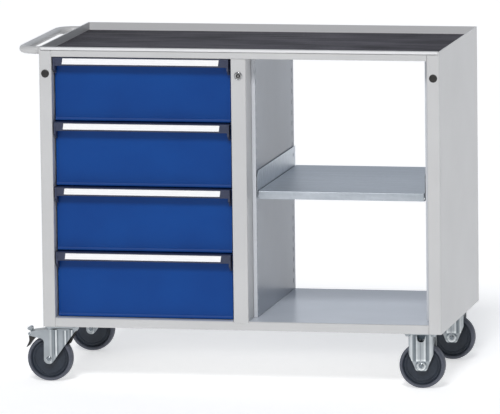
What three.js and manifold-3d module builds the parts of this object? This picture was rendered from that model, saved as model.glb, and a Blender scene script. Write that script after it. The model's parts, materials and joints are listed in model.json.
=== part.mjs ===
// Mobile workbench with four drawers, a shelf bay, a tray top, a push handle and four casters.
// Sizes are in millimetres. While modelling, X runs from the left side, Y from the front to the
// back and Z up from the floor. The last lines move the origin to the middle of the footprint.

import * as THREE from 'three';
import { mergeVertices } from 'three/addons/utils/BufferGeometryUtils.js';
import loadManifold from 'manifold-3d';

const wasm = await loadManifold();
wasm.setup();

// ---- Driving dimensions ----

// Carcass
const bodyWidth = 1100;
const bodyDepth = 600;
const benchHeight = 920;
const casterHeight = 155;
const sheet = 1.5;
const gap = 0.3; // between pieces that touch
const postFace = 35;
const drawerSideReturn = 28;
const rearFlange = 30;
const cornerNib = 5; // stays beside the front lip
const floorHeight = 180;
const floorBend = 5;
const casterFlange = 105; // carries the caster plates

// Divider between the two bays
const dividerX = 530;
const midPostFace = 41;
const dividerFlange = 18;

// Worktop
const topRailHeight = 15.5;
const lipDiameter = 9;
const lipGroove = 1.5;
const matThickness = 2.9;
const trayCorner = 2.5; // open corner between the turned-up edges

// Shelf bay
const upright = 72; // how far the slotted strips stand back
const leftStrip = 11;
const rightStrip = 18;
const slotPitch = 29.5;
const slotHeight = 13;
const slotDepth = 6;
const slotInset = 8;
const rearSlotInset = 28;
const firstSlot = 205;
const shelfSlot = 12; // the slot that carries the shelf, counted from the bottom
const shelfSheet = 1.2;
const shelfClearance = 2;
const shelfFlange = 54;
const shelfLip = 22;
const shelfDrop = 32; // from the slot down to the deck
const hookLength = 5;
const hookHeight = 10;

// Drawers
const drawerCount = 4;
const lowestExtra = 4; // by which the lowest front is taller
const drawerGap = 3;
const drawerGapLeft = 3.5;
const drawerGapRight = 7; // beside the lock's post
const drawerTopGap = 1.5;
const frontRecess = 25;
const frontDepth = 12;
const drawerSheet = 1.2;
const runnerWidth = 12;
const runnerHeight = 39;
const runnerStart = 40;
const runnerLength = 550;
const runnerClearance = 1;
const bodyLength = 547;
const bodyLift = 10; // of the drawer's floor above the front's lower edge
const bodyHeadroom = 20.5; // from the body's rim up to the front's upper edge
const standoffLength = 25;

// Grips
const gripHeight = 23;
const gripWall = 2.5;
const capWidth = 5;
const capHeight = 45;
const labelThickness = 0.6;
const labelHeight = 16;
const labelInset = 25.5;
const labelDrop = 2.6;

// Push handle
const tubeRadius = 10.5;
const handleReach = 77;
const handleInset = 60;
const handleBend = 45;
const handleDrop = 15.5;
const collarRadius = 15;
const collarThickness = 4;

// Post plugs and lock
const fittingDrop = 72; // of the plugs' and lock's middles below the top
const plugRadius = 11;
const plugShank = 9;
const fittingClearance = 0.3;
const plugProud = 2.5;
const lockRadius = 12;
const lockBarrel = 10;
const lockCore = 7;
const lockProud = 3;
const lockLength = 25;
const camLength = 16;

// Casters
const wheelRadius = 62.5;
const tyreWidth = 32;
const tyreInner = 49;
const tyreShoulder = 4.5;
const wheelDish = 3.5; // of the hub's rim behind the tyre's side
const hubWidth = 40;
const hubRadius = 14;
const axleRadius = 6;
const axleClearance = 0.3;
const forkInner = 21.5;
const forkSheet = 2.5;
const plateLength = 90;
const plateDepth = 85;
const plateThickness = 4.2;
const plateCorner = 8;
const trail = 40;
const swivelInset = 50;
const swivelDepth = 45;
const fixedInset = 63;
const fixedDepth = 61;
const ringRadius = 28;
const ringThickness = 3.5;
const kingpinRadius = 6;
const pedalPinRadius = 3;
const forkEnd = 14;
const crownLength = 29; // from the swivel axis to the fork's straight edge
const crownBack = 51;
const crownThickness = 5;
const armReach = 97;
const armDepth = 15;
const armTaper = 5;
const ribWidth = 6;
const ribReach = 21;
const pedalReach = 91;
const pedalDrop = 25; // of the pedal's pin below the frame
const cheekWidth = 68; // of the fixed fork
const cheekFoot = 31;
const cheekShoulder = 35; // above the axle
const cheekBell = 27; // the round-ended opening at the cheek's top
const bellDrop = 22;

// Roundness of the turned pieces
const wheelSides = 28;
const rodSides = 20;
const pinSides = 12;

// ---- Sizes that follow ----

const lipBottom = benchHeight - lipDiameter;
const topRailTop = lipBottom - lipGroove;
const topRailBottom = topRailTop - topRailHeight;
const trayBottom = topRailBottom + gap;
const trayFloor = trayBottom + sheet;
const drawersTop = topRailBottom - drawerTopGap;
const drawersBottom = floorHeight + drawerTopGap;
const drawerPitch = (drawersTop - drawersBottom + drawerGap - lowestExtra) / drawerCount;
const bodyHeight = drawerPitch - drawerGap - bodyLift - bodyHeadroom;
const trayWallFront = lipDiameter;
const midPostRight = dividerX + midPostFace;
const bayLeft = midPostRight + leftStrip;
const bayRight = bodyWidth - postFace - rightStrip;
const baySideReturn = upright - gap;
const insideBack = bodyDepth - sheet - gap;
const plateTop = casterHeight - gap;
const plateBottom = plateTop - plateThickness;
const fittingHeight = benchHeight - fittingDrop;
const ringBottom = plateBottom - ringThickness;
const crownTop = ringBottom - gap - ringThickness;
const crownBottom = crownTop - crownThickness;
const cheekOuter = forkInner + forkSheet;
const pedalPivot = [-pedalReach, casterHeight - pedalDrop];

// ---- Geometry helpers ----

function block(x0, x1, y0, y1, z0, z1) {
  const geometry = new THREE.BoxGeometry(x1 - x0, y1 - y0, z1 - z0);
  return geometry.translate((x0 + x1) / 2, (y0 + y1) / 2, (z0 + z1) / 2);
}

// Extrudes an outline along an axis: 'x' takes points (y, z), 'y' takes (x, z), 'z' takes (x, y).
function prism(axis, outline, from, to) {
  const shape = new THREE.Shape(outline.map(([a, b]) => new THREE.Vector2(a, b)));
  const geometry = new THREE.ExtrudeGeometry(shape, { depth: to - from, bevelEnabled: false });
  geometry.translate(0, 0, axis === 'y' ? -to : from);
  if (axis === 'y') {
    geometry.rotateX(Math.PI / 2);
  }
  if (axis === 'x') {
    geometry.rotateX(Math.PI / 2).rotateZ(Math.PI / 2);
  }
  return geometry;
}

// A rod along an axis, through (a, b) of the other two in X, Y, Z order.
function rod(axis, radius, from, to, a, b, sides = rodSides) {
  const geometry = new THREE.CylinderGeometry(radius, radius, to - from, sides);
  const middle = (from + to) / 2;
  if (axis === 'x') {
    return geometry.rotateZ(Math.PI / 2).translate(middle, a, b);
  }
  if (axis === 'y') {
    return geometry.translate(a, middle, b);
  }
  return geometry.rotateX(Math.PI / 2).translate(a, b, middle);
}

// Points along an arc, with its angles in degrees.
function arc(a, b, radius, start, end, steps) {
  const points = [];
  for (let step = 0; step <= steps; step += 1) {
    const angle = THREE.MathUtils.degToRad(start + ((end - start) * step) / steps);
    points.push([a + radius * Math.cos(angle), b + radius * Math.sin(angle)]);
  }
  return points;
}

// The section of a bent sheet. The path runs along its outer face, with the metal on its right.
function bentSheet(path, thickness) {
  const inner = path.map((point, index) => {
    const normals = [];
    for (const [from, to] of [[index - 1, index], [index, index + 1]]) {
      if (from >= 0 && to < path.length) {
        const edge = new THREE.Vector2(path[to][0] - path[from][0], path[to][1] - path[from][1]);
        edge.normalize();
        normals.push(new THREE.Vector2(edge.y, -edge.x));
      }
    }
    const last = normals[normals.length - 1];
    const mitre = normals[0].clone().add(last).divideScalar(1 + normals[0].dot(last));
    return [point[0] + mitre.x * thickness, point[1] + mitre.y * thickness];
  });
  return [...path, ...inner.reverse()];
}

function toSolid(geometry) {
  const bare = geometry.clone();
  bare.deleteAttribute('normal');
  bare.deleteAttribute('uv');
  const merged = mergeVertices(bare, 0.0001);
  return new wasm.Manifold(new wasm.Mesh({
    numProp: 3,
    vertProperties: merged.attributes.position.array,
    triVerts: new Uint32Array(merged.index.array),
  }));
}

function toGeometry(solid) {
  const mesh = solid.getMesh();
  const geometry = new THREE.BufferGeometry();
  geometry.setAttribute('position', new THREE.BufferAttribute(mesh.vertProperties, 3));
  geometry.setIndex(new THREE.BufferAttribute(mesh.triVerts, 1));
  geometry.computeVertexNormals();
  return geometry;
}

function join(...geometries) {
  return toGeometry(geometries.map(toSolid).reduce((solid, other) => solid.add(other)));
}

function cut(geometry, ...tools) {
  return toGeometry(tools.map(toSolid).reduce((solid, tool) => solid.subtract(tool), toSolid(geometry)));
}

// ---- Finishes ----

const greyPaint = { color: 0xcfd0d3, roughness: 0.45, metalness: 0 };
const bluePaint = { color: 0x21468a, roughness: 0.4, metalness: 0 };
const galvanised = { color: 0xa6adb4, roughness: 0.45, metalness: 0.7 };
const zincPlate = { color: 0xb4b9bd, roughness: 0.35, metalness: 0.9 };
const chrome = { color: 0xc9cbce, roughness: 0.15, metalness: 1 };
const blackPlastic = { color: 0x2b2926, roughness: 0.5, metalness: 0 };
const gripPlastic = { color: 0x3c4664, roughness: 0.5, metalness: 0 };
const labelPaper = { color: 0xfafafa, roughness: 0.6, metalness: 0 };
const blackRubber = { color: 0x48474d, roughness: 0.8, metalness: 0 };
const greyRubber = { color: 0x5a5d66, roughness: 0.7, metalness: 0 };
const darkNylon = { color: 0x3c444e, roughness: 0.55, metalness: 0 };

const bench = new THREE.Group();

function piece(name, geometry, finish, parent = bench) {
  const mesh = new THREE.Mesh(geometry, new THREE.MeshStandardMaterial(finish));
  mesh.name = name;
  parent.add(mesh);
}

// ---- Side panels, each with its folded corner post ----

// Mirrors what is drawn for the left side to the right one.
function toSide(side, path) {
  return side === 'left' ? path : path.map(([x, y]) => [bodyWidth - x, y]).reverse();
}

function sideBlock(side, x0, x1, ...rest) {
  return side === 'left' ? block(x0, x1, ...rest) : block(bodyWidth - x1, bodyWidth - x0, ...rest);
}

function plugX(side) {
  return side === 'left' ? postFace / 2 : bodyWidth - postFace / 2;
}

function sidePanel(side, returnDepth) {
  const path = toSide(side, [
    [postFace, returnDepth],
    [postFace, 0],
    [0, 0],
    [0, bodyDepth],
    [rearFlange, bodyDepth],
  ]);
  const above = benchHeight + gap;
  const underTray = trayBottom - gap;
  return cut(
    prism('z', bentSheet(path, sheet), casterHeight, benchHeight),
    sideBlock(side, cornerNib, postFace + gap, -gap, sheet, lipBottom - gap, above),
    sideBlock(side, sheet, postFace + gap, sheet, returnDepth + gap, underTray, above),
    sideBlock(side, sheet, rearFlange + gap, insideBack, bodyDepth + gap, underTray, above),
    rod('y', plugShank + fittingClearance, -gap, sheet + gap, plugX(side), fittingHeight),
  );
}

piece('left_side_panel', sidePanel('left', drawerSideReturn), greyPaint);
piece('right_side_panel', sidePanel('right', baySideReturn), greyPaint);

// ---- Base pan: the bottom rail, the bays' floor and the flanges for the casters in one sheet ----

function basePan() {
  const path = [
    [casterFlange, casterHeight],
    [0, casterHeight],
    ...arc(floorBend, floorHeight - floorBend, floorBend, 180, 90, 4),
    [insideBack, floorHeight],
    [insideBack, casterHeight],
    [bodyDepth - casterFlange, casterHeight],
  ];
  const [bottom, top] = [casterHeight - gap, floorHeight + gap];
  return cut(
    prism('x', bentSheet(path, sheet), sheet + gap, bodyWidth - sheet - gap),
    sideBlock('left', 0, postFace + gap, -gap, drawerSideReturn + gap, bottom, top),
    sideBlock('right', 0, postFace + gap, -gap, baySideReturn + gap, bottom, top),
    block(dividerX - gap, midPostRight + gap, -gap, floorBend + gap, floorHeight - floorBend, top),
  );
}

piece('base_pan', basePan(), greyPaint);

// ---- Divider: one sheet makes the mid post with the lock and the wall that carries the runners ----

const standing = [floorHeight + gap, topRailBottom - gap];

function divider() {
  const path = [
    [midPostRight, baySideReturn],
    [midPostRight, 0],
    [dividerX, 0],
    [dividerX, insideBack],
    [dividerX + dividerFlange, insideBack],
  ];
  const foot = block(dividerX, midPostRight, 0, sheet, floorHeight - floorBend + gap, standing[0] + sheet);
  return cut(
    join(prism('z', bentSheet(path, sheet), ...standing), foot),
    rod('y', lockBarrel + fittingClearance, -gap, sheet + gap, (dividerX + midPostRight) / 2, fittingHeight),
  );
}

piece('divider', divider(), greyPaint);

// ---- Shelf bay walls with rows of slots for the shelf's hooks ----

const slotHeights = [];
for (let z = firstSlot; z + slotHeight < topRailBottom - gap; z += slotPitch) {
  slotHeights.push(z);
}

// The walls turn round the bay: toward -1 is the divider's and +1 is the right side's.
function bayWall(wallX, toward, strip) {
  const path = [
    [wallX + toward * 2 * strip, insideBack],
    [wallX, insideBack],
    [wallX, upright],
    [wallX + toward * (strip - gap), upright],
  ];
  const slots = slotHeights.flatMap((z) => [upright + slotInset, bodyDepth - rearSlotInset].map((y) => block(
    wallX - 2 * sheet,
    wallX + 2 * sheet,
    y - slotDepth / 2,
    y + slotDepth / 2,
    z - slotHeight / 2,
    z + slotHeight / 2,
  )));
  const section = bentSheet(toward < 0 ? path : path.reverse(), sheet);
  return cut(prism('z', section, ...standing), ...slots);
}

piece('bay_wall_left', bayWall(bayLeft, -1, leftStrip), greyPaint);
piece('bay_wall_right', bayWall(bayRight, 1, rightStrip), greyPaint);

// ---- Back of the drawer bay ----

piece('drawer_bay_back', block(
  sheet + gap,
  dividerX - gap,
  insideBack - sheet,
  insideBack,
  ...standing,
), greyPaint);

// ---- Worktop: front rail, tray with a rolled lip, and the mat in it ----

function topRail() {
  const back = trayWallFront - 2 * gap;
  const path = [
    [back, topRailBottom],
    [0, topRailBottom],
    [0, topRailTop],
    [back, topRailTop],
  ];
  return prism('x', bentSheet(path, sheet), postFace + gap, bodyWidth - postFace - gap);
}

function worktopTray() {
  const side = sheet + gap;
  const edge = side + sheet;
  const wallBack = trayWallFront + sheet;
  const lip = [
    ...arc(lipDiameter / 2, lipBottom + lipDiameter / 2, lipDiameter / 2, 270, 90, 8),
    [wallBack, benchHeight],
    [wallBack, lipBottom],
  ];
  const sides = ['left', 'right'].map((name) => sideBlock(
    name,
    side,
    edge,
    wallBack + trayCorner,
    bodyDepth - sheet - trayCorner,
    trayBottom,
    benchHeight - gap,
  ));
  return join(
    block(side, bodyWidth - side, trayWallFront, bodyDepth, trayBottom, trayFloor),
    block(cornerNib, bodyWidth - cornerNib, trayWallFront, wallBack, trayBottom, benchHeight - sheet),
    prism('x', lip, cornerNib + gap, bodyWidth - cornerNib - gap),
    block(side + trayCorner, bodyWidth - side - trayCorner, bodyDepth - sheet, bodyDepth, trayBottom, benchHeight),
    ...sides,
  );
}

piece('top_rail', topRail(), greyPaint);
piece('worktop_tray', worktopTray(), greyPaint);
piece('ribbed_mat', block(
  2 * (sheet + gap),
  bodyWidth - 2 * (sheet + gap),
  trayWallFront + sheet + gap,
  insideBack,
  trayFloor + gap,
  trayFloor + gap + matThickness,
), blackRubber);

// ---- Shelf, hooked into the slots ----

function shelf() {
  const [left, right] = [bayLeft + shelfClearance, bayRight - shelfClearance];
  const [front, back] = [upright + 2 * gap + sheet, insideBack];
  const hookZ = slotHeights[shelfSlot];
  const deck = hookZ - shelfDrop;
  const flangeTop = deck + shelfFlange;
  const chamfer = shelfFlange / 2;
  const section = [
    [right, flangeTop],
    [right, deck - shelfSheet],
    [left, deck - shelfSheet],
    [left, flangeTop],
  ];
  const corner = [
    [front - chamfer, flangeTop + gap],
    [front - chamfer, flangeTop - 2 * chamfer],
    [front + chamfer + gap, flangeTop + gap],
  ];
  const lips = [front, back - shelfSheet].map((y) => block(
    left + 3 * shelfSheet,
    right - 3 * shelfSheet,
    y,
    y + shelfSheet,
    deck - shelfLip,
    deck - shelfSheet / 2,
  ));
  const hooks = [upright + slotInset, bodyDepth - rearSlotInset].flatMap((y) => [
    [left - hookLength, left + shelfSheet / 2],
    [right - shelfSheet / 2, right + hookLength],
  ].map(([x0, x1]) => block(
    x0,
    x1,
    y - slotDepth / 4,
    y + slotDepth / 4,
    hookZ - hookHeight / 2,
    hookZ + hookHeight / 2,
  )));
  const bent = prism('y', bentSheet(section, shelfSheet), front, back);
  return join(cut(bent, prism('x', corner, left - gap, right + gap)), ...lips, ...hooks);
}

piece('shelf', shelf(), galvanised);

// ---- Drawers and their runners ----

const [frontLeft, frontRight] = [postFace + drawerGapLeft, dividerX - drawerGapRight];
const bayMiddle = (postFace + dividerX) / 2;
const drawerLeft = postFace + runnerWidth + gap;
const drawerRight = dividerX - runnerWidth - gap;
const drawerBack = frontRecess + frontDepth + gap + bodyLength;

// A channel that opens towards the drawer, on standoffs where the cabinet's wall stands back.
function runner(side, z) {
  const [outer, inner] = [postFace + gap, postFace + runnerWidth - 2 * gap];
  const half = runnerHeight / 2;
  const path = [[inner, z - half], [outer, z - half], [outer, z + half], [inner, z + half]];
  const [front, back] = [runnerStart, runnerStart + runnerLength];
  if (side === 'right') {
    const turned = path.map(([x, height]) => [2 * bayMiddle - x, height]).reverse();
    return prism('y', bentSheet(turned, sheet), front, back);
  }
  const standoffs = [front + standoffLength, back - 2 * standoffLength].map((y) => block(
    sheet + gap,
    outer + sheet / 2,
    y,
    y + standoffLength,
    z - half,
    z + half,
  ));
  return join(prism('y', bentSheet(path, sheet), front, back), ...standoffs);
}

function drawerBody(floor, runnerZ) {
  const front = frontRecess + frontDepth + gap;
  const rim = floor + bodyHeight;
  const wall = drawerSheet;
  const tray = cut(
    block(drawerLeft, drawerRight, front, drawerBack, floor, rim),
    block(drawerLeft + wall, drawerRight - wall, front + wall, drawerBack - wall, floor + wall, rim + gap),
  );
  const slideHalf = runnerHeight / 2 - sheet - runnerClearance;
  const slideReach = runnerWidth - gap - sheet - runnerClearance;
  const slides = [
    [drawerLeft - slideReach, drawerLeft + wall / 2],
    [drawerRight - wall / 2, drawerRight + slideReach],
  ].map(([x0, x1]) => block(x0, x1, runnerStart + gap, drawerBack, runnerZ - slideHalf, runnerZ + slideHalf));
  return join(tray, ...slides);
}

function drawerFront(bottom, top) {
  const wall = drawerSheet;
  const [front, back] = [frontRecess, frontRecess + frontDepth];
  return cut(
    block(frontLeft, frontRight, front, back, bottom, top),
    block(frontLeft + wall, frontRight - wall, front + wall, back + gap, bottom + wall, top - wall),
  );
}

// An angle whose skirt carries the label, closed by a cheek at each end.
function drawerGrip(top) {
  const skirt = labelThickness + gap;
  const back = frontRecess - gap;
  const profile = [
    [skirt, top - gripHeight],
    [skirt, top],
    [back, top],
    [back, top - gripWall],
    [skirt + gripWall, top - gripWall],
    [skirt + gripWall, top - gripHeight],
  ];
  const cheeks = [frontLeft, frontRight - capWidth].map((x) => block(
    x,
    x + capWidth,
    skirt,
    back,
    top - capHeight,
    top,
  ));
  return join(prism('x', profile, frontLeft, frontRight), ...cheeks);
}

function gripLabel(top) {
  const labelTop = top - labelDrop;
  return block(
    frontLeft + labelInset,
    frontRight - labelInset,
    0,
    labelThickness,
    labelTop - labelHeight,
    labelTop,
  );
}

for (let index = 0; index < drawerCount; index += 1) {
  const name = `drawer_${index + 1}`;
  const top = drawersTop - index * drawerPitch;
  const bottom = index === drawerCount - 1 ? drawersBottom : top - drawerPitch + drawerGap;
  const runnerZ = bottom + bodyLift + runnerHeight;
  piece(`${name}_body`, drawerBody(bottom + bodyLift, runnerZ), bluePaint);
  piece(`${name}_front`, drawerFront(bottom, top - gap), bluePaint);
  piece(`${name}_grip`, drawerGrip(top), gripPlastic);
  piece(`${name}_label`, gripLabel(top), labelPaper);
  piece(`${name}_runner_left`, runner('left', runnerZ), galvanised);
  piece(`${name}_runner_right`, runner('right', runnerZ), galvanised);
}

// ---- Push handle: a bent tube with a welded collar at each end ----

// Runs out from the side panel, along the bench and back in, with round corners.
class HandlePath extends THREE.CurvePath {
  constructor() {
    super();
    const z = benchHeight - handleDrop;
    const outer = tubeRadius - handleReach;
    const [front, back] = [handleInset, bodyDepth - handleInset];
    const corner = (x, y, from) => {
      const round = new THREE.EllipseCurve(x, y, handleBend, handleBend, from, from - Math.PI / 2, true);
      const points = round.getPoints(8).map((point) => new THREE.Vector3(point.x, point.y, z));
      points.slice(1).forEach((point, index) => this.add(new THREE.LineCurve3(points[index], point)));
    };
    const line = (x0, y0, x1, y1) => {
      this.add(new THREE.LineCurve3(new THREE.Vector3(x0, y0, z), new THREE.Vector3(x1, y1, z)));
    };
    line(-gap, front, outer + handleBend, front);
    corner(outer + handleBend, front + handleBend, -Math.PI / 2);
    line(outer, front + handleBend, outer, back - handleBend);
    corner(outer + handleBend, back - handleBend, Math.PI);
    line(outer + handleBend, back, -gap, back);
  }
}

function pushHandle() {
  const circle = new THREE.Shape().absarc(0, 0, tubeRadius, 0, 2 * Math.PI);
  const tube = new THREE.ExtrudeGeometry(circle, {
    extrudePath: new HandlePath(),
    steps: 40,
    curveSegments: 6,
    bevelEnabled: false,
  });
  const collars = [handleInset, bodyDepth - handleInset].map((y) => rod(
    'x',
    collarRadius,
    -gap - collarThickness,
    -gap,
    y,
    benchHeight - handleDrop,
  ));
  return join(tube, ...collars);
}

piece('push_handle', pushHandle(), greyPaint);

// ---- Plugs in the corner posts ----

for (const side of ['left', 'right']) {
  const x = plugX(side);
  piece(`post_plug_${side}`, join(
    rod('y', plugRadius, -gap - plugProud, -gap, x, fittingHeight),
    rod('y', plugShank, -gap - plugProud / 2, 5 * sheet, x, fittingHeight),
  ), blackPlastic);
}

// ---- Lock in the mid post: a collared barrel and the cylinder that turns in it ----

const lockX = (dividerX + midPostRight) / 2;

function lockBody() {
  const front = -gap - lockProud;
  return cut(
    join(
      rod('y', lockRadius, front, -gap, lockX, fittingHeight),
      rod('y', lockBarrel, front + gap, lockLength, lockX, fittingHeight),
    ),
    rod('y', lockCore + fittingClearance, front - gap, lockLength + gap, lockX, fittingHeight),
  );
}

function lockCylinder() {
  const front = -gap - lockProud;
  const camFront = lockLength + gap;
  const keyway = block(
    lockX - sheet / 2,
    lockX + sheet / 2,
    front - gap,
    lockLength / 2,
    fittingHeight - lockCore / 2,
    fittingHeight + lockCore / 2,
  );
  const cam = block(
    lockX - lockCore / 2,
    lockX + lockCore / 2,
    camFront,
    camFront + sheet,
    fittingHeight - camLength,
    fittingHeight,
  );
  return cut(join(rod('y', lockCore, front, camFront + sheet, lockX, fittingHeight), cam), keyway);
}

piece('lock_body', lockBody(), chrome);
piece('lock_cylinder', lockCylinder(), chrome);

// ---- Casters. In each group X and Y count from the plate's middle, and Z from the floor. ----

function plate() {
  const corners = [[1, 1, 0], [-1, 1, 90], [-1, -1, 180], [1, -1, 270]];
  const outline = corners.flatMap(([x, y, start]) => arc(
    x * (plateLength / 2 - plateCorner),
    y * (plateDepth / 2 - plateCorner),
    plateCorner,
    start,
    start + 90,
    3,
  ));
  return prism('z', outline, plateBottom, plateTop);
}

// The wheel's flats at its lowest point touch the floor.
function turned(profile) {
  const reach = 1 / Math.cos(Math.PI / wheelSides);
  const points = profile.map(([radius, y]) => new THREE.Vector2(radius * reach, y));
  return new THREE.LatheGeometry([...points, points[0]], wheelSides, Math.PI / wheelSides);
}

function tyre() {
  const half = tyreWidth / 2;
  const side = [
    [tyreInner, half - wheelDish],
    [tyreInner + tyreShoulder / 3, half],
    [wheelRadius - tyreShoulder, half],
    [wheelRadius - tyreShoulder / 4, half - tyreShoulder / 2],
    [wheelRadius, half - 1.5 * tyreShoulder],
  ];
  return turned([...side.map(([radius, y]) => [radius, -y]), ...side.reverse()]);
}

function hub() {
  const [web, rim] = [tyreWidth / 4, tyreWidth / 2 - wheelDish];
  const side = [
    [axleRadius + axleClearance, hubWidth / 2],
    [hubRadius, hubWidth / 2],
    [hubRadius + axleRadius / 3, web],
    [tyreInner - wheelDish, web],
    [tyreInner - gap, rim],
  ];
  return turned([...side.map(([radius, y]) => [radius, -y]), ...side.reverse()]);
}

function axle(x) {
  const outer = cheekOuter + gap;
  const head = 1.5 * axleRadius;
  return join(
    rod('y', axleRadius, -outer - gap, outer + gap, x, wheelRadius),
    rod('y', head, -outer - axleRadius, -outer, x, wheelRadius, 6),
    rod('y', head, outer, outer + axleRadius, x, wheelRadius, 6),
  );
}

// Two cheeks cut from one outline, one on each side of the wheel.
function cheeks(outline) {
  return [
    prism('y', outline, -cheekOuter, -forkInner),
    prism('y', outline, forkInner, cheekOuter),
  ];
}

// Pressed ribs, standing proud of both cheeks.
function ribs(x0, x1, z0, z1) {
  const [near, far] = [cheekOuter - sheet, cheekOuter + sheet];
  return [block(x0, x1, -far, -near, z0, z1), block(x0, x1, near, far, z0, z1)];
}

function axleHole(x) {
  return rod('y', axleRadius + axleClearance, -2 * forkInner, 2 * forkInner, x, wheelRadius, pinSides);
}

function swivelPlate() {
  return join(
    plate(),
    rod('z', ringRadius, ringBottom, plateBottom + gap, 0, 0),
    rod('z', kingpinRadius, crownBottom - kingpinRadius, ringBottom + gap, 0, 0),
    rod('z', 1.6 * kingpinRadius, crownBottom - kingpinRadius, crownBottom - gap, 0, 0, 6),
  );
}

function swivelFork() {
  const armTop = crownTop - 2 * armTaper;
  const armBottom = crownTop - armTaper - armDepth;
  const neck = ribWidth + armTaper; // radius under the arm
  const side = [
    ...arc(-trail, wheelRadius, forkEnd, 180, 320, 8),
    [crownLength, crownTop - 3 * ribWidth],
    [crownLength, crownTop],
    [-crownBack, crownTop],
    [-armReach + 1.5 * ribWidth, crownTop - armTaper],
    [-armReach, armTop],
    [-armReach, armTop - ribWidth],
    [-armReach + 1.5 * ribWidth, armBottom],
    [-trail - forkEnd - neck + armTaper, armBottom - armTaper],
    ...arc(-trail - forkEnd - neck + armTaper, armBottom - armTaper - neck, neck, 90, 0, 3),
  ];
  return cut(
    join(
      ...cheeks(side),
      block(-crownBack + gap, crownLength, -cheekOuter, cheekOuter, crownBottom, crownTop),
      rod('z', ringRadius, crownTop - gap, ringBottom - gap, 0, 0),
      ...ribs(-ribReach, ribWidth - ribReach, wheelRadius + ribReach, crownBottom),
      ...ribs(ribWidth / 2, 1.5 * ribWidth, wheelRadius + crownBack, crownBottom),
    ),
    rod('z', kingpinRadius + axleClearance, 0, casterHeight, 0, 0),
    axleHole(-trail),
    rod('y', pedalPinRadius + axleClearance, -2 * cheekOuter, 2 * cheekOuter, ...pedalPivot, pinSides),
  );
}

// A tab for the foot above its pin, and the shoe that it swings against the tyre.
function brakePedal() {
  const [x, z] = pedalPivot;
  const inPinRadii = [
    [-2, 6.3],
    [0.7, 6.3],
    [1.7, 2],
    [4, -1.6],
    [4, -3],
    [0.3, -7.2],
    [-3.4, -12.3],
    [-4.4, -12],
    [-1.8, -6],
    [-2, -2],
    [-2.7, 2],
  ];
  const outline = inPinRadii.map(([a, b]) => [x + a * pedalPinRadius, z + b * pedalPinRadius]);
  const half = forkInner - 2 * gap;
  return join(
    prism('y', outline, -half, half),
    rod('y', pedalPinRadius, -cheekOuter, cheekOuter, x, z, pinSides),
  );
}

function fixedFork() {
  const [wide, narrow, bell] = [cheekWidth / 2, cheekFoot / 2, cheekBell / 2];
  const foot = wheelRadius - forkEnd;
  const corner = ribWidth;
  const bellBottom = plateBottom - bellDrop;
  const top = plateBottom + gap;
  const side = [
    [-narrow + corner, foot],
    [narrow - corner, foot],
    [narrow, foot + corner],
    [wide, wheelRadius + cheekShoulder],
    [wide, top],
    [bell, top],
    ...arc(0, bellBottom + 0.7 * bell, 0.7 * bell, 0, -180, 6),
    [-bell, top],
    [-wide, top],
    [-wide, wheelRadius + cheekShoulder],
    [-narrow, foot + corner],
  ];
  const spine = ribs(-0.8 * bell, 0.8 * bell, wheelRadius + 2 * axleRadius, bellBottom - sheet);
  return cut(join(plate(), ...cheeks(side), ...spine), axleHole(0));
}

function wheelPieces(group, name, x) {
  const wheel = new THREE.Group();
  wheel.position.set(x, 0, wheelRadius);
  piece(`${name}_hub`, hub(), darkNylon, wheel);
  piece(`${name}_tyre`, tyre(), greyRubber, wheel);
  group.add(wheel);
  piece(`${name}_axle`, axle(x), zincPlate, group);
}

for (const [end, fromFront] of [['front', 1], ['rear', -1]]) {
  const depthOf = (inset) => (fromFront > 0 ? inset : bodyDepth - inset);

  const swivel = new THREE.Group();
  swivel.position.set(swivelInset, depthOf(swivelDepth), 0);
  bench.add(swivel);
  piece(`swivel_${end}_plate`, swivelPlate(), zincPlate, swivel);
  piece(`swivel_${end}_fork`, swivelFork(), zincPlate, swivel);
  piece(`swivel_${end}_pedal`, brakePedal(), blackPlastic, swivel);
  wheelPieces(swivel, `swivel_${end}`, -trail);

  const fixed = new THREE.Group();
  fixed.position.set(bodyWidth - fixedInset, depthOf(fixedDepth), 0);
  bench.add(fixed);
  piece(`fixed_${end}_fork`, fixedFork(), zincPlate, fixed);
  wheelPieces(fixed, `fixed_${end}`, 0);
}

// ---- Origin on the floor, in the middle of the bench's outline ----

bench.position.set((handleReach - bodyWidth) / 2, (lockProud + gap - bodyDepth) / 2, 0);

export default bench;
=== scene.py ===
import json
import math

import bmesh
import bpy
from mathutils import Matrix, Vector


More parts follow.
